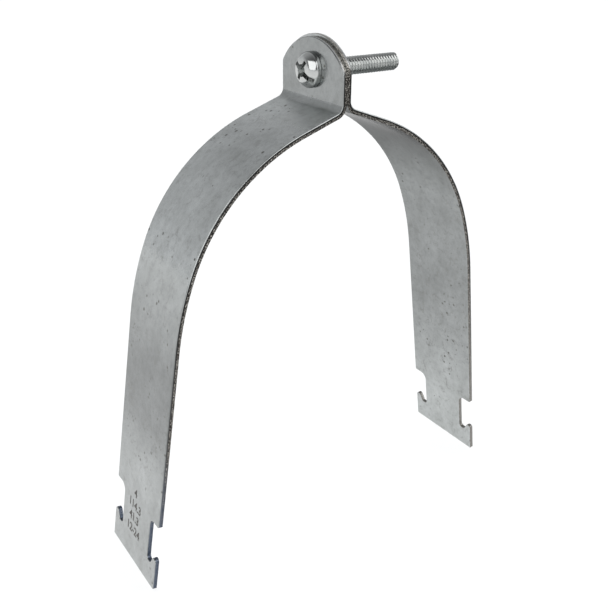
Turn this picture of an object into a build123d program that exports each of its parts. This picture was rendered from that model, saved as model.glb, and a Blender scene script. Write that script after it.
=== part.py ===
"""Strut pipe clamp: two bent sheet-steel straps, held together at the ears by a machine screw and a square nut.

Millimetres, +Z up. The clamp stands open on its two hooked legs. The screw lies along X with its head on the
-X side, and the straps' width runs along Y. The origin is on the floor, midway between the outer corners of
the two feet and in the middle of the straps' width.
"""

from build123d import *
from math import asin, atan2, degrees, hypot, radians, tan
import os

# Sheet strip that both straps are blanked from
strap_width = 31.75
sheet = 1.5
rollover = 0.25  # rounded rim that blanking leaves on the punch side, which becomes the outside
outward_lean = 0.3  # every face of the outside leans at least this far outward

# Ear, measured from the centre of its hole
crown_top = 9.65
crown_radius = 19.25
ear_drop = 7.25  # down to where the ear's bend starts
ear_hole_radius = 3.5

# Bent profile, along the face that meets the pipe
bend_radius = 2.6  # on the hollow side of the ear's bend
front_bend = 70.95
shoulder_length = 12.2
saddle_radius = 60.0
saddle_angle = 48.3
flank_radius = 100.6
flank_angle = 13.4
leg_length = 81.9

# Hooked leg end, in the flat: across from the centre line, and up from the foot
neck_half_width = 9.9
shoulder_height = 23.0
pocket_floor = 8.0
pocket_width = 2.5
hook_height = 11.0
hook_inner_edge = 14.0
outline_radii = [0.5, 2.6, 1.2, 0.9, 1.0, 1.0, 0.3]  # shoulder, neck, pocket twice, hook twice, foot

# The rear strap sits this much higher on the screw, within the play of the two ear holes
ear_lift = 0.8

# Machine screw
screw_radius = 2.743
screw_length = 31.75  # under the head
tip_chamfer = 0.75
head_radius = 5.25
head_height = 3.8
head_land = 1.3  # straight part of the head's side
head_flank_radius = 6.0  # of the arc from there in to the crown
head_crown_radius = 3.7
head_crown_rise = 0.45
slot_width = 1.6
slot_depth = 1.9
slot_cut_length = 12.0  # past both sides of the head
recess_radius = 3.3
recess_depth = 3.3
recess_end_slope = 26.5
recess_core_radius = 1.85
recess_core_slope = 15.0
wing_width = 1.3
wing_draft = 3.0
drive_turn = 33.0  # the slot's angle from +Y towards +Z

# Square nut
nut_width = 11.1
nut_height = 4.0
nut_bore_radius = screw_radius + 0.05
nut_corner_slope = 30.0
nut_countersink = 0.45


def face_line(offset, bend):
    """One face of the bent sheet, from the ear's top to the foot, offset outward from the pipe side."""
    ear = Line((offset, crown_top), (offset, -ear_drop))
    fold = JernArc(ear @ 1, ear % 1, bend_radius + sheet - offset, bend)
    shoulder = PolarLine(fold @ 1, shoulder_length, direction=fold % 1)
    saddle = JernArc(shoulder @ 1, shoulder % 1, saddle_radius + offset, -saddle_angle)
    flank = JernArc(saddle @ 1, saddle % 1, flank_radius + offset, -flank_angle)
    leg = PolarLine(flank @ 1, leg_length, direction=flank % 1)
    return [ear, fold, shoulder, saddle, flank, leg]


def rear_bend_for_level_feet():
    """The rear strap's bend angle: a little more open, so that its foot comes down by the lift of its ear."""
    foot = face_line(0, front_bend)[-1] @ 1
    reach = foot.X - (sheet + bend_radius)
    drop = -ear_drop - foot.Y
    return front_bend - degrees(asin((drop + ear_lift) / hypot(reach, drop)) - atan2(drop, reach))


def leg_end_outline():
    """The leg's last stretch in the flat, as a face: foot, hooks, necks and shoulders."""
    half = strap_width / 2
    above = leg_length / 2
    corners = [
        (half, above),
        (half, shoulder_height),
        (neck_half_width, shoulder_height),
        (neck_half_width, pocket_floor),
        (neck_half_width + pocket_width, pocket_floor),
        (hook_inner_edge, hook_height),
        (half, hook_height),
        (half, 0),
        (0, 0),
    ]
    side = FilletPolyline(*corners, radius=outline_radii)
    return make_face(side + mirror(side, Plane.YZ) + Line((-half, above), (half, above)))


def strap(bend):
    """A whole strap on the +X side of the ear plane, with the centre of its hole at the origin."""
    pipe_side, outside = face_line(0, bend), face_line(sheet, bend)
    edges = pipe_side + outside
    edges.append(Line(pipe_side[0] @ 0, outside[0] @ 0))
    edges.append(Line(pipe_side[-1] @ 1, outside[-1] @ 1))
    body = extrude(Plane.XZ * make_face(Curve() + edges), strap_width / 2, both=True)

    crown_corner = crown_top - crown_radius + (crown_radius**2 - (strap_width / 2) ** 2) ** 0.5
    waste = Pos(0, crown_corner + crown_radius) * Rectangle(2 * strap_width, 2 * crown_radius)
    waste -= Pos(0, crown_top - crown_radius) * Circle(crown_radius)
    body -= extrude(Plane.YZ * waste, 2 * sheet, both=True)
    body -= extrude(Plane.YZ * Circle(ear_hole_radius), 2 * sheet, both=True)

    leg = pipe_side[-1]
    foot, down = leg @ 1, leg % 1
    across_leg = Plane((foot.X, 0, foot.Y), x_dir=(0, 1, 0), z_dir=(-down.Y, 0, down.X))
    around_outline = Pos(0, leg_length / 4 - sheet) * Rectangle(2 * strap_width, leg_length / 2)
    body -= extrude(across_leg * (around_outline - leg_end_outline()), 2 * sheet, both=True)

    outside_faces = [face for face in body.faces() if face.normal_at().X > outward_lean]
    rim_uses = [edge for face in outside_faces for edge in face.edges()]
    rim = [edge for edge in rim_uses if sum(edge.is_same(other) for other in rim_uses) == 1]
    return fillet(rim, rollover), leg


def clamp_screw():
    """The machine screw along +X, with the bearing face of its head at the origin."""
    crown_edge = (head_crown_rise - head_height, head_crown_radius)
    profile = Polyline(
        (-head_height, 0),
        (screw_length, 0),
        (screw_length, screw_radius - tip_chamfer),
        (screw_length - tip_chamfer, screw_radius),
        (0, screw_radius),
        (0, head_radius),
        (-head_land, head_radius),
    )
    profile += RadiusArc((-head_land, head_radius), crown_edge, -head_flank_radius)
    profile += TangentArc((-head_height, 0), crown_edge, tangent=(0, 1))
    body = revolve(Plane.XZ * make_face(profile), Axis.X)

    # The drive is sunk from the crown of the head towards the shank: a cross with a round core, and a slot
    crown = Plane((-head_height, 0, 0), x_dir=(0, 1, 0), z_dir=(1, 0, 0))
    wings = Rectangle(2 * recess_radius, wing_width) + Rectangle(wing_width, 2 * recess_radius)
    wings_end_radius = recess_radius - recess_depth * tan(radians(recess_end_slope))
    core_end_radius = recess_core_radius - recess_depth * tan(radians(recess_core_slope))
    cross = extrude(wings, recess_depth, taper=wing_draft)
    cross = cross & (Pos(0, 0, recess_depth / 2) * Cone(recess_radius, wings_end_radius, recess_depth))
    cross += Pos(0, 0, recess_depth / 2) * Cone(recess_core_radius, core_end_radius, recess_depth)
    slot = Pos(0, 0, slot_depth / 2) * Box(slot_cut_length, slot_width, slot_depth)
    return body - crown * Rot(0, 0, drive_turn) * (cross + slot)


def square_nut():
    """The nut along +X from the origin, with the corners of its ear side turned off."""
    body = extrude(Plane.YZ * Rectangle(nut_width, nut_width), nut_height)
    corner_radius = nut_width / 2 + nut_height / tan(radians(nut_corner_slope))
    turned = Plane.YZ * Pos(0, 0, nut_height / 2) * Cone(nut_width / 2, corner_radius, nut_height)
    body = body & turned
    body -= extrude(Plane.YZ * Circle(nut_bore_radius), nut_height)
    mouth_radius = nut_bore_radius + nut_countersink
    mouth = Pos(0, 0, nut_countersink / 2) * Cone(mouth_radius, nut_bore_radius, nut_countersink)
    body -= Plane.YZ * mouth
    body -= Plane((nut_height, 0, 0), x_dir=(0, 1, 0), z_dir=(-1, 0, 0)) * mouth
    return body


rear_bend = rear_bend_for_level_feet()
front, front_leg = strap(front_bend)
rear, rear_leg = strap(rear_bend)

# Places in the standing frame
screw_height = ear_lift / 2 - (front_leg @ 1).Y
front_foot_corner = (front_leg @ 1).X - sheet * (front_leg % 1).Y
rear_foot_corner = (rear_leg @ 1).X - sheet * (rear_leg % 1).Y
ear_plane = (front_foot_corner - rear_foot_corner) / 2

nodes = {
    "front_strap": Pos(ear_plane, 0, screw_height - ear_lift / 2) * mirror(front, Plane.YZ),
    "rear_strap": Pos(ear_plane, 0, screw_height + ear_lift / 2) * rear,
    "clamp_screw": Pos(ear_plane - sheet, 0, screw_height) * clamp_screw(),
    "square_nut": Pos(ear_plane + sheet, 0, screw_height) * square_nut(),
}

os.makedirs("parts", exist_ok=True)
for name, solid in nodes.items():
    export_step(solid, f"parts/{name}.step")
print(f"ear plane x {ear_plane:.3f}, screw height {screw_height:.3f}, rear bend {rear_bend:.3f}")
for name, leg in (("front", front_leg), ("rear", rear_leg)):
    print(f"{name} foot reach {(leg @ 1).X:.3f}, height {(leg @ 1).Y:.3f}, down {(leg % 1).X:.5f} {(leg % 1).Y:.5f}")
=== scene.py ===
from math import asin, cos, pi, radians, sin, sqrt, tan

import bmesh
import bpy
from mathutils import Matrix, Vector


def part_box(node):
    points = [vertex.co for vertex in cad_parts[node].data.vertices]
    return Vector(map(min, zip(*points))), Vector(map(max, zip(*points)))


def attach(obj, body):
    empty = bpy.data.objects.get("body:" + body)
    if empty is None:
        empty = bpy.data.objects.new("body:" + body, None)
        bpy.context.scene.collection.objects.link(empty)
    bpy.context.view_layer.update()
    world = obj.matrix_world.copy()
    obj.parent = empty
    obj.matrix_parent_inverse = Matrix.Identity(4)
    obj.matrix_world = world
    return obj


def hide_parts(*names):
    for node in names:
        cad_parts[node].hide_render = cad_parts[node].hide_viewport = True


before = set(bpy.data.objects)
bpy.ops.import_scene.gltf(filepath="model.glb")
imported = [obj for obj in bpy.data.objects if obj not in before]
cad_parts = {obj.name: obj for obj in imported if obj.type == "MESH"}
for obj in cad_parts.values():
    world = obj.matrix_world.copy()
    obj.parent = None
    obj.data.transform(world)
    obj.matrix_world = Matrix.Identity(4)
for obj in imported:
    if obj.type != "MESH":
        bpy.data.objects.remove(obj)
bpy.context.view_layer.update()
scene = bpy.context.scene

# The two straps: each is blanked from 1.5 mm steel strip, with an ear, a screw hole and two hooked notches,
# then bent on a press and zinc plated. They are one pattern, and the rear one stands turned round, a little
# higher on the screw than the front one.
mm = 0.001
strap_width = 31.75 * mm
sheet = 1.5 * mm
rollover = 0.25 * mm
burr = 0.06 * mm
crown_top = 9.65 * mm
crown_radius = 19.25 * mm
ear_drop = 7.25 * mm
ear_hole_radius = 3.5 * mm
hollow_radius = 2.6 * mm
shoulder_length = 12.2 * mm
saddle_radius = 60.0 * mm
saddle_angle = radians(48.3)
flank_radius = 100.6 * mm
flank_angle = radians(13.4)
leg_length = 81.9 * mm
neck_half_width = 9.9 * mm
shoulder_height = 23.0 * mm
pocket_floor = 8.0 * mm
pocket_width = 2.5 * mm
hook_height = 11.0 * mm
hook_inner_edge = 14.0 * mm
notch_radii = [0.5 * mm, 2.6 * mm, 1.2 * mm, 0.9 * mm, 1.0 * mm, 1.0 * mm, 0.3 * mm]
front_bend = radians(70.95)
rear_bend = radians(70.242)
ear_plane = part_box("front_strap")[1].x
front_hole_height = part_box("front_strap")[1].z - crown_top
rear_hole_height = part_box("rear_strap")[1].z - crown_top
longest_ear_edge = 3 * mm
towards_x = Matrix.Rotation(pi / 2, 4, "Y")
same_place = 1e-7
weld_reach = 1e-6


def press_tool(bend):
    """The bent profile as (length, curvature, cuts), along the pipe's side from the hole down."""
    fold_radius = hollow_radius + sheet
    return [
        (ear_drop, 0, 0),
        (fold_radius * bend, 1 / fold_radius, 24),
        (shoulder_length, 0, 4),
        (saddle_radius * saddle_angle, -1 / saddle_radius, 48),
        (flank_radius * flank_angle, -1 / flank_radius, 14),
        (leg_length, 0, 1),
    ]


def below_hole(tool):
    """The blank's length from the hole's centre to the foot."""
    return sum(length for length, curvature, cuts in tool)


def bent_place(tool, along, out):
    """Where a point of the blank comes to lie: along it from the hole, and out from the pipe's side."""
    at, heading = Vector((0, 0)), -pi / 2
    for length, curvature, cuts in tool:
        step = min(along, length)
        turn = curvature * step
        if curvature:
            at += Vector((sin(heading + turn) - sin(heading), cos(heading) - cos(heading + turn))) / curvature
        else:
            at += step * Vector((cos(heading), sin(heading)))
        heading += turn
        along -= step
        if along <= 0:
            break
    return at.x - out * sin(heading), at.y + out * cos(heading)


def verts_of(geometry):
    """The vertices among what an operator gives back."""
    return [item for item in geometry if isinstance(item, bmesh.types.BMVert)]


def edges_of_ear(bm):
    """The edges of the flat blank from the ear's bend up."""
    return [edge for edge in bm.edges if all(vert.co.z > -ear_drop - same_place for vert in edge.verts)]


def saw(bm, place, facing, clear=False):
    """Cuts the whole mesh across at a plane, and clears what lies past it if asked."""
    bmesh.ops.bisect_plane(
        bm,
        geom=bm.verts[:] + bm.edges[:] + bm.faces[:],
        plane_co=place,
        plane_no=facing,
        dist=same_place,
        clear_outer=clear,
    )


def to_mesh(name, bm):
    """The mesh that a bmesh holds, which is then used up."""
    mesh = bpy.data.meshes.new(name)
    bm.to_mesh(mesh)
    bm.free()
    return mesh


def place_object(mesh):
    """An object in the scene, named as its mesh."""
    piece = bpy.data.objects.new(mesh.name, mesh)
    scene.collection.objects.link(piece)
    return piece


def round_corner(bm, corner, radius):
    """Rounds one corner of a flat outline to a radius."""
    sides = [edge.other_vert(corner).co - corner.co for edge in corner.link_edges]
    setback = radius / tan(sides[0].angle(sides[1]) / 2)
    bmesh.ops.bevel(
        bm, geom=[corner], offset=setback, affect="VERTICES", segments=6, profile=0.5, material=-1
    )


def blanked_strip(tool):
    """The blank in the YZ plane with the screw hole round the origin, and its outside towards +X."""
    bm = bmesh.new()
    half = strap_width / 2
    foot = -below_hole(tool)
    corners = [
        (0, -ear_drop),
        (half, -ear_drop),
        (half, foot + shoulder_height),
        (neck_half_width, foot + shoulder_height),
        (neck_half_width, foot + pocket_floor),
        (neck_half_width + pocket_width, foot + pocket_floor),
        (hook_inner_edge, foot + hook_height),
        (half, foot + hook_height),
        (half, foot),
        (0, foot),
    ]
    outline = [bm.verts.new((0, y, z)) for y, z in corners]
    bm.faces.new(outline)
    for corner, radius in zip(outline[2:9], notch_radii):
        round_corner(bm, corner, radius)

    station = 0
    for length, curvature, cuts in tool:
        for cut in range(cuts):
            saw(bm, (0, 0, -(station + length * cut / cuts)), (0, 0, 1))
        station += length
    bmesh.ops.mirror(bm, geom=bm.verts[:] + bm.edges[:] + bm.faces[:], merge_dist=weld_reach, axis="Y")

    # The ear: the strip's end drawn up, its top cut to the crown's arc, and the screw hole punched
    crown_corner = crown_top - crown_radius + sqrt(crown_radius**2 - half**2)
    risen = verts_of(bmesh.ops.extrude_edge_only(bm, edges=edges_of_ear(bm))["geom"])
    bmesh.ops.translate(bm, verts=risen, vec=(0, 0, ear_drop + crown_corner))
    crown = [edge for edge in bm.edges if all(vert in risen for vert in edge.verts)]
    seam = [edge for edge in edges_of_ear(bm) if all(abs(vert.co.y) < same_place for vert in edge.verts)]
    bmesh.ops.delete(bm, geom=seam, context="EDGES")
    bmesh.ops.subdivide_edges(bm, edges=crown, cuts=15)
    straight = [edge for edge in edges_of_ear(bm) if edge.calc_length() > longest_ear_edge]
    bmesh.ops.subdivide_edges(bm, edges=straight, cuts=7)
    for vert in bm.verts:
        if vert.co.z > crown_corner - same_place:
            vert.co.z = crown_top - crown_radius + sqrt(crown_radius**2 - vert.co.y**2)
    bmesh.ops.create_circle(bm, segments=64, radius=ear_hole_radius, matrix=towards_x)
    bmesh.ops.bridge_loops(bm, edges=edges_of_ear(bm))
    return bm


def strap(name, bend, hand, hole_height, body):
    """A finished strap: the blank gets its thickness and its sheared rim, and is bent."""
    tool = press_tool(bend)
    bm = blanked_strip(tool)
    outside = bmesh.ops.extrude_face_region(bm, geom=bm.faces[:])["geom"]
    outside_faces = [item for item in outside if isinstance(item, bmesh.types.BMFace)]
    bmesh.ops.translate(bm, verts=verts_of(outside), vec=(sheet, 0, 0))
    bmesh.ops.recalc_face_normals(bm, faces=bm.faces[:])
    walls = [face for face in bm.faces if abs(face.normal.x) < 0.5]
    for face in walls:
        face.material_index = 1
    outside_edges = {edge for face in outside_faces for edge in face.edges}
    rim = [edge for edge in outside_edges if any(face.material_index for face in edge.link_faces)]
    bmesh.ops.bevel(
        bm, geom=rim, offset=rollover, affect="EDGES", segments=5, profile=0.5, material=0, loop_slide=True
    )
    pipe_rim = [
        edge for edge in bm.edges
        if all(vert.co.x < same_place for vert in edge.verts)
        and len({face.material_index for face in edge.link_faces}) == 2
    ]
    bmesh.ops.bevel(bm, geom=pipe_rim, offset=burr, affect="EDGES", segments=2, profile=0.5, material=1)

    # Each point keeps its place on the flat blank, which the zinc's pattern follows round the bends
    blank_place = bm.verts.layers.float_vector.new("blank")
    for vert in bm.verts:
        vert[blank_place] = vert.co.copy()
        vert.co.x, vert.co.z = bent_place(tool, -vert.co.z, vert.co.x)
    bmesh.ops.scale(bm, vec=(hand, 1, 1), verts=bm.verts[:])
    bmesh.ops.translate(bm, vec=(ear_plane, 0, hole_height), verts=bm.verts[:])
    bmesh.ops.recalc_face_normals(bm, faces=bm.faces[:])
    piece = place_object(to_mesh(name, bm))
    piece.data.shade_smooth()
    piece.data.set_sharp_from_angle(angle=radians(35))
    piece.modifiers.new("even shading", "WEIGHTED_NORMAL").keep_sharp = True
    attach(piece, body)
    return piece


front_strap = strap("front_strap_sheet", front_bend, -1, front_hole_height, "front_half")
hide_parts("front_strap")
rear_strap = strap("rear_strap_sheet", rear_bend, 1, rear_hole_height, "rear_half")
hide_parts("rear_strap")


def wire(tree, *links):
    """Joins sockets, given as (from node, its output, to node, its input)."""
    for source, output, target, entry in links:
        tree.links.new(source.outputs[output], target.inputs[entry])


def put(tree, kind, **settings):
    """Adds a node. Names with a capital letter are its inputs, and the rest are its own settings."""
    node = tree.nodes.new(kind)
    for key, value in settings.items():
        if key[0].isupper():
            node.inputs[key.replace("_", " ")].default_value = value
        else:
            setattr(node, key, value)
    return node


def reckon(tree, operation, first=None, second=None):
    """Adds a maths node, with the values of the inputs that nothing is wired to."""
    node = put(tree, "ShaderNodeMath", operation=operation)
    for entry, value in enumerate((first, second)):
        if value is not None:
            node.inputs[entry].default_value = value
    return node


def ramp(tree, *stops):
    """Adds a ramp, given as (position, grey) or (position, (red, green, blue))."""
    node = put(tree, "ShaderNodeValToRGB")
    elements = node.color_ramp.elements
    elements[0].position = stops[0][0]
    elements[1].position = stops[-1][0]
    for position, shade in stops[1:-1]:
        elements.new(position)
    for element, (position, shade) in zip(elements, stops):
        element.color = (*shade, 1) if isinstance(shade, tuple) else (shade, shade, shade, 1)
    return node


def metal(name, metallic=1.0):
    """A material of bare metal, as (material, its node tree, its shader)."""
    material = bpy.data.materials.new(name)
    material.use_nodes = True
    shader = material.node_tree.nodes["Principled BSDF"]
    shader.inputs["Metallic"].default_value = metallic
    return material, material.node_tree, shader


def effect(name, inputs, outputs):
    """An empty node group with its named sockets, given as (name, kind, default)."""
    tree = bpy.data.node_groups.new(name, "ShaderNodeTree")
    for label, kind, default in inputs:
        socket = tree.interface.new_socket(label, in_out="INPUT", socket_type=kind)
        if default is not None:
            socket.default_value = default
    for label, kind in outputs:
        tree.interface.new_socket(label, in_out="OUTPUT", socket_type=kind)
    return tree, tree.nodes.new("NodeGroupInput"), tree.nodes.new("NodeGroupOutput")


# Specks: small dark pits of uneven size, in loose clusters
specks, given, result = effect(
    "zinc specks",
    [
        ("Place", "NodeSocketVector", None),
        ("Scale", "NodeSocketFloat", 300.0),
        ("Amount", "NodeSocketFloat", 0.5),
    ],
    [("Mask", "NodeSocketFloat")],
)
wobble = put(specks, "ShaderNodeTexNoise", Scale=1000.0, Detail=3.0)
ragged = put(specks, "ShaderNodeVectorMath", operation="MULTIPLY_ADD")
ragged.inputs[1].default_value = (0.5 * mm, 0.5 * mm, 0.5 * mm)
cells = put(specks, "ShaderNodeTexVoronoi")
chance = put(specks, "ShaderNodeSeparateColor")
bare_share = reckon(specks, "SUBTRACT", first=1.0)
reach = put(specks, "ShaderNodeMapRange", From_Max=1.0, To_Min=0.0, To_Max=0.42)
patches = put(specks, "ShaderNodeTexNoise", Scale=60.0, Detail=2.0)
crowd = put(specks, "ShaderNodeMapRange", From_Min=0.4, From_Max=0.6, To_Min=0.35, To_Max=1.0)
spread = reckon(specks, "MULTIPLY")
inside = reckon(specks, "SUBTRACT")
soft = put(specks, "ShaderNodeMapRange", From_Min=0.0, From_Max=0.12)
wire(
    specks,
    (given, "Place", wobble, "Vector"),
    (wobble, "Color", ragged, 0),
    (given, "Place", ragged, 2),
    (ragged, "Vector", cells, "Vector"),
    (given, "Scale", cells, "Scale"),
    (cells, "Color", chance, "Color"),
    (given, "Amount", bare_share, 1),
    (chance, "Red", reach, "Value"),
    (bare_share, 0, reach, "From Min"),
    (given, "Place", patches, "Vector"),
    (patches, "Fac", crowd, "Value"),
    (reach, "Result", spread, 0),
    (crowd, "Result", spread, 1),
    (spread, 0, inside, 0),
    (cells, "Distance", inside, 1),
    (inside, 0, soft, "Value"),
    (soft, "Result", result, "Mask"),
)


# The straps' zinc plate: clouded grey, with smudges, specks, fine scratches and painted light and shade,
# laid over the flat blank. Positions on its ramps run from the hole, 0, to the foot, 1.
hole_to_foot = below_hole(press_tool(front_bend))
strap_zinc, tree, plate = metal("strap zinc plate")
place = put(tree, "ShaderNodeAttribute", attribute_name="blank")
split = put(tree, "ShaderNodeSeparateXYZ")
down_strap = reckon(tree, "DIVIDE", second=-hole_to_foot)
pipe_side = reckon(tree, "LESS_THAN", second=sheet / 2)
cloud = put(tree, "ShaderNodeTexNoise", Scale=60.0, Detail=7.0, Roughness=0.72)
tone = ramp(tree, (0.3, (0.405, 0.42, 0.415)), (0.7, (0.56, 0.58, 0.58)))

# Painted light and shade along the strap: the outside is painted darker in the fold, lighter on the
# shoulder and darker down the leg, where it also stands for stains, and the pipe's side is painted darker,
# most of all near the ear
outside_shading_and_stains = ramp(
    tree, (0.035, 0.64), (0.05, 0.7), (0.075, 1.2), (0.1, 1.2), (0.13, 1.0), (0.4, 1.05), (0.49, 0.73),
    (0.6, 0.5), (0.71, 0.54), (0.81, 0.84), (0.95, 0.84)
)
inside_painted_shade = ramp(
    tree, (0.03, 0.95), (0.07, 0.34), (0.18, 0.36), (0.25, 0.66), (0.33, 0.72), (0.6, 0.62), (0.76, 0.76),
    (0.9, 1.05)
)
# The pipe's side gets a greyer specular tint, and each side's painted light and shade multiplies the tone
pipe_side_grey_tint = put(tree, "ShaderNodeMapRange", To_Min=1.0, To_Max=0.4)
side_painted_shading = put(tree, "ShaderNodeMix", data_type="RGBA")
tone_with_painted_shading = put(tree, "ShaderNodeMix", data_type="RGBA", blend_type="MULTIPLY", Factor=1.0)
smudge = put(tree, "ShaderNodeTexNoise", Scale=400.0, Detail=8.0, Roughness=0.8)
smudge_tone = ramp(tree, (0.38, 1.04), (0.5, 0.98), (0.62, 0.86), (0.72, 0.6))
smudged = put(tree, "ShaderNodeMix", data_type="RGBA", blend_type="MULTIPLY", Factor=1.0)
speckled = ramp(tree, (0.0, 0.4), (0.45, 0.5), (0.6, 0.85), (0.88, 0.8), (1.0, 0.6))
pits = put(tree, "ShaderNodeGroup", node_tree=specks, Scale=650.0)
pitted = put(tree, "ShaderNodeMix", data_type="RGBA", B=(0.15, 0.15, 0.14, 1))
squiggle = put(tree, "ShaderNodeTexNoise", Scale=300.0, Detail=3.0)
middle = reckon(tree, "SUBTRACT", second=0.5)
line = reckon(tree, "ABSOLUTE")
thin = put(tree, "ShaderNodeMapRange", From_Min=0.012, From_Max=0.045, To_Min=1.0, To_Max=0.0)
short = put(tree, "ShaderNodeTexNoise", Scale=260.0, Detail=2.0)
broken = put(tree, "ShaderNodeMapRange", From_Min=0.53, From_Max=0.62, To_Max=0.55)
scratch = reckon(tree, "MULTIPLY")
fewer = reckon(tree, "MULTIPLY")
scratched = put(tree, "ShaderNodeMix", data_type="RGBA", B=(0.2, 0.2, 0.19, 1))
gloss = put(tree, "ShaderNodeMapRange", From_Min=0.3, From_Max=0.7, To_Min=0.13, To_Max=0.21)
scuffed = ramp(tree, (0.035, 0.0), (0.06, 0.26), (0.1, 0.22), (0.15, 0.0))
matt = reckon(tree, "ADD")
fine = put(tree, "ShaderNodeTexNoise", Scale=1800.0, Detail=3.0)
bump = put(tree, "ShaderNodeBump", Strength=0.1, Distance=0.05 * mm)
wire(
    tree,
    (place, "Vector", split, 0),
    (split, "Z", down_strap, 0),
    (split, "X", pipe_side, 0),
    (place, "Vector", cloud, "Vector"),
    (place, "Vector", smudge, "Vector"),
    (place, "Vector", pits, "Place"),
    (place, "Vector", fine, "Vector"),
    (cloud, "Fac", tone, "Fac"),
    (down_strap, 0, speckled, "Fac"),
    (speckled, "Color", pits, "Amount"),
    (down_strap, 0, outside_shading_and_stains, "Fac"),
    (down_strap, 0, inside_painted_shade, "Fac"),
    (pipe_side, 0, pipe_side_grey_tint, "Value"),
    (pipe_side_grey_tint, "Result", plate, "Specular Tint"),
    (pipe_side, 0, side_painted_shading, "Factor"),
    (outside_shading_and_stains, "Color", side_painted_shading, "A"),
    (inside_painted_shade, "Color", side_painted_shading, "B"),
    (tone, "Color", tone_with_painted_shading, "A"),
    (side_painted_shading, "Result", tone_with_painted_shading, "B"),
    (smudge, "Fac", smudge_tone, "Fac"),
    (tone_with_painted_shading, "Result", smudged, "A"),
    (smudge_tone, "Color", smudged, "B"),
    (place, "Vector", squiggle, "Vector"),
    (squiggle, "Fac", middle, 0),
    (middle, 0, line, 0),
    (line, 0, thin, "Value"),
    (place, "Vector", short, "Vector"),
    (short, "Fac", broken, "Value"),
    (thin, "Result", scratch, 0),
    (broken, "Result", scratch, 1),
    (scratch, 0, fewer, 0),
    (speckled, "Color", fewer, 1),
    (fewer, 0, scratched, "Factor"),
    (smudged, "Result", scratched, "A"),
    (scratched, "Result", pitted, "A"),
    (pits, "Mask", pitted, "Factor"),
    (pitted, "Result", plate, "Base Color"),
    (cloud, "Fac", gloss, "Value"),
    (down_strap, 0, scuffed, "Fac"),
    (gloss, "Result", matt, 0),
    (scuffed, "Color", matt, 1),
    (matt, 0, plate, "Roughness"),
    (fine, "Fac", bump, "Height"),
    (bump, "Normal", plate, "Normal"),
)

# The sheared rim: a smooth band that the die burnished under the outside, and torn grain below it. Both
# carry painted light and shade: pale round the ear's crown, where the edge faces up, near black down the
# ear's sides, and lighter low on the legs. The rim is also dusty low on the rear leg, and bluish low on the
# front one. Positions on its ramps run from the crown's top, 0, to the foot, 1.
sheared, tree, torn = metal("strap sheared edge")
place = put(tree, "ShaderNodeAttribute", attribute_name="blank")
split = put(tree, "ShaderNodeSeparateXYZ")
tear = put(tree, "ShaderNodeTexNoise", Scale=2400.0, Detail=3.0, Roughness=0.7)
grain = ramp(tree, (0.52, (0.022, 0.02, 0.018)), (0.68, (0.52, 0.5, 0.46)))
wave = put(tree, "ShaderNodeTexNoise", Scale=350.0, Detail=3.0)
depth = reckon(tree, "MULTIPLY_ADD", second=0.5 * mm)
burnished = put(tree, "ShaderNodeMapRange", From_Min=0.98 * mm, From_Max=1.12 * mm)
rim_tone_painted_light = put(tree, "ShaderNodeMix", data_type="RGBA")
down_edge = put(tree, "ShaderNodeMapRange", From_Min=crown_top, From_Max=-hole_to_foot)
# Painted light and shade on the grain: more pale specks round the crown, none down the ear's sides
painted_grain_light = ramp(tree, (0.022, 0.16), (0.037, 0.11), (0.044, 0.0), (0.14, 0.02), (0.6, 0.04))
speckle = reckon(tree, "ADD")
# Painted light and shade on the burnished band: pale at the crown, near black down the ear's sides
painted_band_light = ramp(tree, (0.022, 0.7), (0.037, 0.45), (0.044, 0.018), (0.5, 0.025), (0.75, 0.08), (0.9, 0.22))
dusty = ramp(tree, (0.5, 0.0), (0.9, 0.6))
cleaner = put(tree, "ShaderNodeMix", data_type="RGBA", B=(0.30, 0.29, 0.27, 1))
low = put(tree, "ShaderNodeMapRange", From_Min=0.74, From_Max=0.9, To_Max=0.75)
whole = put(tree, "ShaderNodeTexCoord")
side = put(tree, "ShaderNodeSeparateXYZ")
front = reckon(tree, "LESS_THAN", second=0.0)
rear = reckon(tree, "GREATER_THAN", second=0.0)
dusted = reckon(tree, "MULTIPLY")
blue = reckon(tree, "MULTIPLY")
blued = put(tree, "ShaderNodeMix", data_type="RGBA", B=(0.075, 0.1, 0.15, 1))
feel = put(tree, "ShaderNodeMapRange", To_Min=0.45, To_Max=0.2)
bump = put(tree, "ShaderNodeBump", Strength=0.5, Distance=0.1 * mm)
wire(
    tree,
    (place, "Vector", split, 0),
    (place, "Vector", tear, "Vector"),
    (place, "Vector", wave, "Vector"),
    (wave, "Fac", depth, 0),
    (split, "X", depth, 2),
    (depth, 0, burnished, "Value"),
    (down_edge, "Result", painted_grain_light, "Fac"),
    (tear, "Fac", speckle, 0),
    (painted_grain_light, "Color", speckle, 1),
    (speckle, 0, grain, "Fac"),
    (grain, "Color", rim_tone_painted_light, "A"),
    (burnished, "Result", rim_tone_painted_light, "Factor"),
    (split, "Z", down_edge, "Value"),
    (down_edge, "Result", painted_band_light, "Fac"),
    (down_edge, "Result", dusty, "Fac"),
    (down_edge, "Result", low, "Value"),
    (painted_band_light, "Color", rim_tone_painted_light, "B"),
    (side, "X", rear, 0),
    (rear, 0, dusted, 0),
    (dusty, "Color", dusted, 1),
    (dusted, 0, cleaner, "Factor"),
    (rim_tone_painted_light, "Result", cleaner, "A"),
    (whole, "Object", side, 0),
    (side, "X", front, 0),
    (front, 0, blue, 0),
    (low, "Result", blue, 1),
    (blue, 0, blued, "Factor"),
    (cleaner, "Result", blued, "A"),
    (blued, "Result", torn, "Base Color"),
    (burnished, "Result", feel, "Value"),
    (feel, "Result", torn, "Roughness"),
    (tear, "Fac", bump, "Height"),
    (bump, "Normal", torn, "Normal"),
)
for piece in (front_strap, rear_strap):
    piece.data.materials.append(strap_zinc)
    piece.data.materials.append(sheared)

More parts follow.
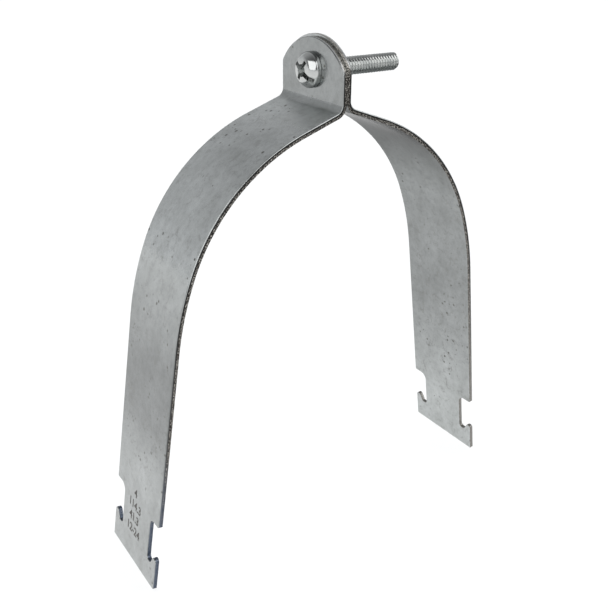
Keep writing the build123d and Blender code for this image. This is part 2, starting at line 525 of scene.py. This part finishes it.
# The size stamp: plain numbers on the front leg's outside between its notches, coloured near black as
# painted shade in place of the shade in struck figures. They give the pipe size in inches and in
# millimetres, the strut's width and the screw's thread. Here the figures stand a hair proud of the sheet,
# so that they show.
stamp_height = 23.5 * mm
stamp_aside = 1.4 * mm
figure_height = 4.2 * mm
figure_boldness = 0.1 * mm
figure_rise = 0.02 * mm


def meshed(piece):
    """A mesh of what an object looks like with all its modifiers on."""
    return bpy.data.meshes.new_from_object(piece.evaluated_get(bpy.context.evaluated_depsgraph_get()))


figures = bpy.data.curves.new("size stamp", "FONT")
figures.body = "4\n114.3\n41.3\n12-24"
figures.size = figure_height
figures.space_line = 1.1
figures.offset = figure_boldness
figures.align_x = "CENTER"
figures.extrude = figure_rise
typed = bpy.data.objects.new("typed figures", figures)
scene.collection.objects.link(typed)
flat_figures = meshed(typed)
bm = bmesh.new()
bm.from_mesh(flat_figures)
bpy.data.objects.remove(typed)
bpy.data.meshes.remove(flat_figures)
bmesh.ops.remove_doubles(bm, verts=bm.verts[:], dist=same_place)
bmesh.ops.recalc_face_normals(bm, faces=bm.faces[:])
leg_foot = bent_place(press_tool(front_bend), hole_to_foot, sheet)
first_line = bent_place(press_tool(front_bend), hole_to_foot - stamp_height, sheet)
up_leg = Vector((leg_foot[0] - first_line[0], 0, first_line[1] - leg_foot[1])).normalized()
reading = Vector((0, -1, 0))
stamp_place = Matrix((reading, up_leg, reading.cross(up_leg))).transposed().to_4x4()
stamp_place.translation = (ear_plane - first_line[0], stamp_aside, front_hole_height + first_line[1])
bm.transform(stamp_place)
stamp = place_object(to_mesh("size_stamp", bm))
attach(stamp, "front_half")
stamp_painted_shade, tree, groove = metal("stamp painted shade")
place = put(tree, "ShaderNodeTexCoord")
stamp_mottle = put(tree, "ShaderNodeTexNoise", Scale=1500.0, Detail=3.0, Roughness=0.6)
# Painted shade: near black tones in place of the shade in struck figures
tone = ramp(tree, (0.35, (0.045, 0.042, 0.037)), (0.65, (0.105, 0.1, 0.09)))
gloss = put(tree, "ShaderNodeMapRange", From_Min=0.3, From_Max=0.7, To_Min=0.28, To_Max=0.42)
wire(
    tree,
    (place, "Object", stamp_mottle, "Vector"),
    (stamp_mottle, "Fac", tone, "Fac"),
    (tone, "Color", groove, "Base Color"),
    (stamp_mottle, "Fac", gloss, "Value"),
    (gloss, "Result", groove, "Roughness"),
)
stamp.data.materials.append(stamp_painted_shade)

# The clamp screw: a No. 12-24 machine screw, 1 1/4 inch long, with a pan head and a combination recess. It
# is headed from wire, its thread is rolled, and it is zinc plated brighter than the straps.
screw_radius = 2.743 * mm
screw_length = 31.75 * mm
thread_pitch = 25.4 * mm / 24
thread_depth = 0.6134 * thread_pitch
tip_chamfer = 0.75 * mm
head_radius = 5.25 * mm
head_height = 3.8 * mm
head_land = 1.3 * mm
head_flank_radius = 6.0 * mm
head_crown_radius = 3.7 * mm
head_crown_rise = 0.45 * mm
bearing_rounding = 0.2 * mm
side_rounding = 0.4 * mm
crown_rounding = 0.42 * mm
neck_radius = 2.4 * mm
neck_length = 1.6 * mm
thread_start = 1.2 * mm
slot_width = 1.6 * mm
slot_depth = 1.9 * mm
recess_radius = 3.3 * mm
recess_depth = 3.3 * mm
recess_end_slope = radians(26.5)
recess_core_radius = 1.85 * mm
recess_core_slope = radians(15)
wing_width = 1.3 * mm
wing_draft = radians(3)
drive_turn = radians(33)
screw_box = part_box("clamp_screw")
bearing_face = screw_box[1].x - screw_length
screw_height = (screw_box[0].z + screw_box[1].z) / 2

# One pitch of the thread's profile, as (share of the pitch, share of the depth below the crest)
ridge = [
    (0, 1), (0.125, 1), (0.42, 0.11), (0.46, 0.03), (0.5, 0), (0.54, 0.03), (0.58, 0.11), (0.875, 1), (1, 1)
]
bm = bmesh.new()
ridge_verts = [
    bm.verts.new(((share - 1) * thread_pitch, 0, screw_radius - drop * thread_depth)) for share, drop in ridge
]
ridge_edges = [bm.edges.new(pair) for pair in zip(ridge_verts, ridge_verts[1:])]
turns = 33
per_turn = 32
bmesh.ops.spin(
    bm,
    geom=ridge_verts + ridge_edges,
    axis=(1, 0, 0),
    dvec=(thread_pitch / per_turn, 0, 0),
    angle=2 * pi * turns,
    steps=turns * per_turn,
)
bmesh.ops.remove_doubles(bm, verts=bm.verts[:], dist=5 * weld_reach)
saw(bm, (screw_length - tip_chamfer, 0, 0), (1, 0, 0))
saw(bm, (screw_length - tip_chamfer / 2, 0, 0), (1, 0, 0))
saw(bm, (screw_length, 0, 0), (1, 0, 0), clear=True)
saw(bm, (thread_start, 0, 0), (-1, 0, 0), clear=True)
for vert in bm.verts:
    radius = vert.co.yz.length
    allowed = screw_radius - tip_chamfer + (screw_length - vert.co.x)
    if radius > allowed:
        vert.co.y *= allowed / radius
        vert.co.z *= allowed / radius
bmesh.ops.holes_fill(bm, edges=[edge for edge in bm.edges if edge.is_boundary], sides=0)
bmesh.ops.recalc_face_normals(bm, faces=bm.faces[:])
thread_mesh = to_mesh("rolled thread", bm)

# The head as a half profile: its side, the flank that leans in to the crown, the crown, the bearing face and
# the plain neck, where the thread runs out
crown_edge = Vector((head_crown_rise - head_height, 0, head_crown_radius))
side_edge = Vector((-head_land, 0, head_radius))
flank = crown_edge - side_edge
flank_middle = (side_edge + crown_edge) / 2
inward = Vector((-flank.z, 0, flank.x)).normalized()
flank_centre = flank_middle + inward * sqrt(head_flank_radius**2 - (flank.length / 2) ** 2)
crown_arc = (head_crown_radius**2 + head_crown_rise**2) / (2 * head_crown_rise)
head = bmesh.new()
start = head.verts.new(side_edge)
swept = bmesh.ops.spin(
    head,
    geom=[start],
    cent=flank_centre,
    axis=(0, -1, 0),
    angle=2 * asin(flank.length / 2 / head_flank_radius),
    steps=6,
)["geom_last"]
bmesh.ops.spin(
    head,
    geom=verts_of(swept),
    cent=(crown_arc - head_height, 0, 0),
    axis=(0, -1, 0),
    angle=asin(head_crown_radius / crown_arc),
    steps=8,
)
below = ((0, 0, head_radius), (0, 0, neck_radius), (neck_length, 0, neck_radius), (neck_length, 0, 0))
side = [start] + [head.verts.new(point) for point in below]
for pair in zip(side, side[1:]):
    head.edges.new(pair)
bmesh.ops.spin(
    head, geom=head.verts[:] + head.edges[:], axis=(1, 0, 0), angle=2 * pi, steps=96, use_merge=True
)
bmesh.ops.remove_doubles(head, verts=head.verts[:], dist=weld_reach)
bmesh.ops.recalc_face_normals(head, faces=head.faces[:])
for level, around, width in (
    (0, head_radius, bearing_rounding),
    (side_edge.x, head_radius, side_rounding),
    (crown_edge.x, head_crown_radius, crown_rounding),
):
    on_level = [edge for edge in head.edges if all(abs(v.co.x - level) < weld_reach for v in edge.verts)]
    ring = [edge for edge in on_level if all(v.co.yz.length > around - 0.01 * mm for v in edge.verts)]
    bmesh.ops.bevel(head, geom=ring, offset=width, affect="EDGES", segments=6, profile=0.5, material=-1)
bmesh.ops.remove_doubles(head, verts=head.verts[:], dist=weld_reach)
bmesh.ops.recalc_face_normals(head, faces=head.faces[:])
screw = place_object(to_mesh("clamp_screw_threaded", head))
screw.data.materials.append(None)
screw.data.materials.append(None)


# The drive punch: a cross with drafted sides and sloped wing ends round a core, and a plain slot over it.
# Each part of it starts 1 mm clear of the crown.
def punch(name, width, length, depth, draft=0, end_slope=0):
    """One bar of the punch, along Y, sunk from the crown towards the shank."""
    bm = bmesh.new()
    bmesh.ops.create_cube(bm, size=1)
    bmesh.ops.scale(bm, vec=(depth + mm, length, width), verts=bm.verts[:])
    bmesh.ops.translate(bm, vec=((depth - mm) / 2 - head_height, 0, 0), verts=bm.verts[:])
    for vert in bm.verts:
        sunk = vert.co.x + head_height
        vert.co.z -= sunk * tan(draft) * (1 if vert.co.z > 0 else -1)
        vert.co.y -= sunk * tan(end_slope) * (1 if vert.co.y > 0 else -1)
    bmesh.ops.recalc_face_normals(bm, faces=bm.faces[:])
    return to_mesh(name, bm)


core = bmesh.new()
bmesh.ops.create_cone(
    core,
    cap_ends=True,
    segments=48,
    radius1=recess_core_radius + mm * tan(recess_core_slope),
    radius2=recess_core_radius - recess_depth * tan(recess_core_slope),
    depth=recess_depth + mm,
)
core.transform(Matrix.Translation(((recess_depth - mm) / 2 - head_height, 0, 0)) @ towards_x)
# The thread is joined to the neck, and the punches are cut out and leave the second material in the recess
tools = [
    (thread_mesh, 0),
    (to_mesh("core punch", core), 0),
    (punch("wing bar", wing_width, 2 * recess_radius, recess_depth, wing_draft, recess_end_slope), 0),
    (punch("cross bar", wing_width, 2 * recess_radius, recess_depth, wing_draft, recess_end_slope), pi / 2),
    (punch("slot bar", slot_width, 3 * head_radius, slot_depth), 0),
]
for mesh, quarter in tools:
    mesh.transform(Matrix.Rotation(drive_turn + quarter, 4, "X"))
    mesh.materials.append(None)
    mesh.materials.append(None)
    for face in mesh.polygons:
        face.material_index = 0 if mesh == thread_mesh else 1
    step = screw.modifiers.new(mesh.name, "BOOLEAN")
    step.operation = "UNION" if mesh == thread_mesh else "DIFFERENCE"
    step.solver = "MANIFOLD"
    step.object = place_object(mesh)
struck = meshed(screw)
screw.modifiers.clear()
for mesh, quarter in tools:
    bpy.data.objects.remove(bpy.data.objects[mesh.name])
    bpy.data.meshes.remove(mesh)
struck.transform(Matrix.Translation((bearing_face, 0, screw_height)))
screw.data = struck
struck.shade_smooth()
struck.set_sharp_from_angle(angle=radians(28))
screw.modifiers.new("even shading", "WEIGHTED_NORMAL").keep_sharp = True
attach(screw, "screw")
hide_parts("clamp_screw")


def fastener_zinc(name, clouding, dark, light, pit_share, pit_colour, smooth, rough):
    """The zinc plate of the screw or the nut, with specks. Its clouding is (scale, detail, roughness)."""
    material, tree, shader = metal(name)
    place = put(tree, "ShaderNodeTexCoord")
    scale, detail, roughness = clouding
    cloud = put(tree, "ShaderNodeTexNoise", Scale=scale, Detail=detail, Roughness=roughness)
    tone = ramp(tree, (0.3, dark), (0.7, light))
    pits = put(tree, "ShaderNodeGroup", node_tree=specks, Scale=900.0, Amount=pit_share)
    pitted = put(tree, "ShaderNodeMix", data_type="RGBA", B=pit_colour)
    gloss = put(tree, "ShaderNodeMapRange", From_Min=0.3, From_Max=0.7, To_Min=smooth, To_Max=rough)
    wire(
        tree,
        (place, "Object", cloud, "Vector"),
        (place, "Object", pits, "Place"),
        (cloud, "Fac", tone, "Fac"),
        (tone, "Color", pitted, "A"),
        (pits, "Mask", pitted, "Factor"),
        (pitted, "Result", shader, "Base Color"),
        (cloud, "Fac", gloss, "Value"),
        (gloss, "Result", shader, "Roughness"),
    )
    return material, tree, shader, place


screw_zinc, tree, bright, place = fastener_zinc(
    "screw bright zinc",
    clouding=(300.0, 3.0, 0.5),
    dark=(0.49, 0.505, 0.50),
    light=(0.60, 0.61, 0.60),
    pit_share=0.25,
    pit_colour=(0.22, 0.22, 0.20, 1),
    smooth=0.12,
    rough=0.2,
)
fine = put(tree, "ShaderNodeTexNoise", Scale=4000.0, Detail=2.0)
bump = put(tree, "ShaderNodeBump", Strength=0.1, Distance=0.03 * mm)
wire(
    tree,
    (place, "Object", fine, "Vector"),
    (fine, "Fac", bump, "Height"),
    (bump, "Normal", bright, "Normal"),
)

# The punched recess is a duller zinc, partly diffuse, mottled from near black to a pale tone that is painted
# light, so that the recess shows bright where it lies in shade
recess_painted_light, tree, dull_zinc = metal("screw recess painted light", metallic=0.6)
dull_zinc.inputs["Roughness"].default_value = 0.42
place = put(tree, "ShaderNodeTexCoord")
recess_mottle = put(tree, "ShaderNodeTexNoise", Scale=1300.0, Detail=3.0, Roughness=0.65)
# Painted light: the mottle's pale end brightens the recess, which lies in shade
tone = ramp(tree, (0.4, (0.10, 0.09, 0.065)), (0.62, (0.86, 0.84, 0.74)))
bump = put(tree, "ShaderNodeBump", Strength=0.35, Distance=0.06 * mm)
wire(
    tree,
    (place, "Object", recess_mottle, "Vector"),
    (recess_mottle, "Fac", tone, "Fac"),
    (tone, "Color", dull_zinc, "Base Color"),
    (recess_mottle, "Fac", bump, "Height"),
    (bump, "Normal", dull_zinc, "Normal"),
)
struck.materials.clear()
struck.materials.append(screw_zinc)
struck.materials.append(recess_painted_light)

# The square nut: cut from steel bar, its corners turned off on the side of the ear, tapped and zinc plated.
# It is drawn up against the rear ear. Its bore is plain here, since the screw fills it.
nut_width = 11.1 * mm
nut_height = 4.0 * mm
nut_bore_radius = screw_radius + 0.05 * mm
nut_mouth = 0.45 * mm
nut_turned_slope = radians(30)
nut_turned_land = 0.05 * mm
nut_corner_rounding = 0.35 * mm
nut_wear = 0.08 * mm
ear_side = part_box("square_nut")[0].x

bm = bmesh.new()
ring = bmesh.ops.create_circle(bm, segments=64, radius=nut_bore_radius, matrix=towards_x)["verts"]
for radius in (nut_bore_radius + nut_mouth, nut_width / 2 - nut_turned_land, nut_width / 2):
    rim = [edge for edge in bm.edges if all(vert in ring for vert in edge.verts)]
    ring = verts_of(bmesh.ops.extrude_edge_only(bm, edges=rim)["geom"])
    for vert in ring:
        vert.co *= radius / vert.co.length
for vert in ring:
    vert.co *= (nut_width / 2) / max(abs(vert.co.y), abs(vert.co.z))
back = bmesh.ops.extrude_face_region(bm, geom=bm.faces[:])["geom"]
bmesh.ops.translate(bm, verts=verts_of(back), vec=(nut_height, 0, 0))
for vert in bm.verts:
    radius = vert.co.yz.length
    on_ear_side = vert.co.x < nut_height / 2
    if radius < nut_bore_radius + same_place:
        vert.co.x += nut_mouth if on_ear_side else -nut_mouth
    if on_ear_side and radius > nut_width / 2:
        vert.co.x += (radius - nut_width / 2) * tan(nut_turned_slope)
bmesh.ops.recalc_face_normals(bm, faces=bm.faces[:])
upright = [edge for edge in bm.edges if abs(edge.verts[0].co.x - edge.verts[1].co.x) > nut_height / 2]
corners = [edge for edge in upright if edge.verts[0].co.yz.length > 0.7 * nut_width]
bmesh.ops.bevel(
    bm, geom=corners, offset=nut_corner_rounding, affect="EDGES", segments=4, profile=0.5, material=-1
)
bmesh.ops.translate(bm, vec=(ear_side, 0, screw_height), verts=bm.verts[:])
nut = place_object(to_mesh("square_nut_turned", bm))
nut.data.shade_smooth()
nut.data.set_sharp_from_angle(angle=radians(25))
worn = nut.modifiers.new("worn edges", "BEVEL")
worn.width = nut_wear
worn.segments = 3
worn.limit_method = "ANGLE"
worn.angle_limit = radians(25)
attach(nut, "nut")
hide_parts("square_nut")

nut_zinc = fastener_zinc(
    "nut zinc",
    clouding=(350.0, 4.0, 0.6),
    dark=(0.38, 0.39, 0.385),
    light=(0.54, 0.55, 0.54),
    pit_share=0.4,
    pit_colour=(0.16, 0.16, 0.15, 1),
    smooth=0.2,
    rough=0.34,
)[0]
nut.data.materials.append(nut_zinc)

# The studio: a pale matt floor, soft light from two broad windows and from the air all round, and the camera
# at the photograph's angle and distance.
floor_width = 12
camera_place = (-0.13803, -0.19981, 0.19149)
camera_yaw = radians(55.85)
camera_pitch = radians(-25.45)
camera_roll = radians(0.55)

bpy.ops.mesh.primitive_plane_add(size=floor_width)
floor = bpy.context.object
floor.name = "floor"
pale = bpy.data.materials.new("pale floor")
pale.use_nodes = True
pale.node_tree.nodes["Principled BSDF"].inputs["Base Color"].default_value = (0.9, 0.9, 0.9, 1)
pale.node_tree.nodes["Principled BSDF"].inputs["Roughness"].default_value = 0.7
floor.data.materials.append(pale)

scene.view_settings.view_transform = "Standard"

# The air: bright along the horizon, greyer overhead, dark behind the camera
world = bpy.data.worlds.new("studio air")
world.use_nodes = True
scene.world = world
tree = world.node_tree
look = put(tree, "ShaderNodeTexCoord")
split = put(tree, "ShaderNodeSeparateXYZ")
rise = ramp(tree, (0.0, 0.76), (0.2, 0.70), (0.46, 0.62), (0.56, 0.48), (1.0, 0.38))
facing = put(tree, "ShaderNodeVectorMath", operation="DOT_PRODUCT")
facing.inputs[1].default_value = (cos(camera_yaw), sin(camera_yaw), 0)
share = put(tree, "ShaderNodeMapRange", From_Min=-0.65, From_Max=0.35, To_Min=0.1, To_Max=1.0)
low = put(tree, "ShaderNodeMapRange", From_Min=0.03, From_Max=0.16, To_Min=0.95, To_Max=0.0)
brighter = reckon(tree, "MAXIMUM")
glow = reckon(tree, "MULTIPLY")
tree.nodes["Background"].inputs["Color"].default_value = (0.97, 0.985, 1.0, 1)
wire(
    tree,
    (look, "Generated", split, 0),
    (split, "Z", rise, "Fac"),
    (look, "Generated", facing, 0),
    (facing, "Value", share, "Value"),
    (rise, "Color", glow, 0),
    (split, "Z", low, "Value"),
    (share, "Result", brighter, 0),
    (low, "Result", brighter, 1),
    (brighter, 0, glow, 1),
    (glow, 0, tree.nodes["Background"], "Strength"),
)

on_floor = bpy.data.collections.new("lit by floor lamps")
on_floor.objects.link(floor)
on_clamp = bpy.data.collections.new("lit by windows")
for piece in (front_strap, rear_strap, stamp, screw, nut):
    on_clamp.objects.link(piece)


def hang(name, kind, place, aim, power, receivers):
    """A lamp at a place, turned towards a point, that lights only its receivers."""
    light = bpy.data.lights.new(name, kind)
    light.energy = power
    lamp = bpy.data.objects.new(name, light)
    lamp.location = place
    lamp.rotation_euler = (Vector(aim) - Vector(place)).to_track_quat("-Z", "Y").to_euler()
    lamp.light_linking.receiver_collection = receivers
    scene.collection.objects.link(lamp)
    return lamp


# Two broad soft windows behind the camera light the clamp
window_power = 16
window_aim = (0, 0, 0.15)
for name, place in (("right window", (0.75, -1.15, 0.95)), ("left window", (-1.25, -0.75, 0.95))):
    window = hang(name, "AREA", place, window_aim, window_power, on_clamp)
    window.data.shape = "RECTANGLE"
    window.data.size = 2.0
    window.data.size_y = 1.5

# A broad overhead light of the floor's own keeps it one even white
overhead_strength = 2.75
overhead = hang("overhead", "SUN", (0, 0, 3), (0, 0, 0), overhead_strength, on_floor)
overhead.light_linking.blocker_collection = on_floor

camera = bpy.data.cameras.new("camera")
camera.lens = 47.44
camera.sensor_width = 36
stand = bpy.data.objects.new("camera", camera)
ahead = Vector((cos(camera_yaw) * cos(camera_pitch), sin(camera_yaw) * cos(camera_pitch), sin(camera_pitch)))
across = Vector((sin(camera_yaw), -cos(camera_yaw), 0))
above = across.cross(ahead)
right = cos(camera_roll) * across + sin(camera_roll) * above
up = -sin(camera_roll) * across + cos(camera_roll) * above
turned = Matrix((right, up, -ahead)).transposed().to_4x4()
stand.matrix_world = Matrix.Translation(camera_place) @ turned
scene.collection.objects.link(stand)
scene.camera = stand
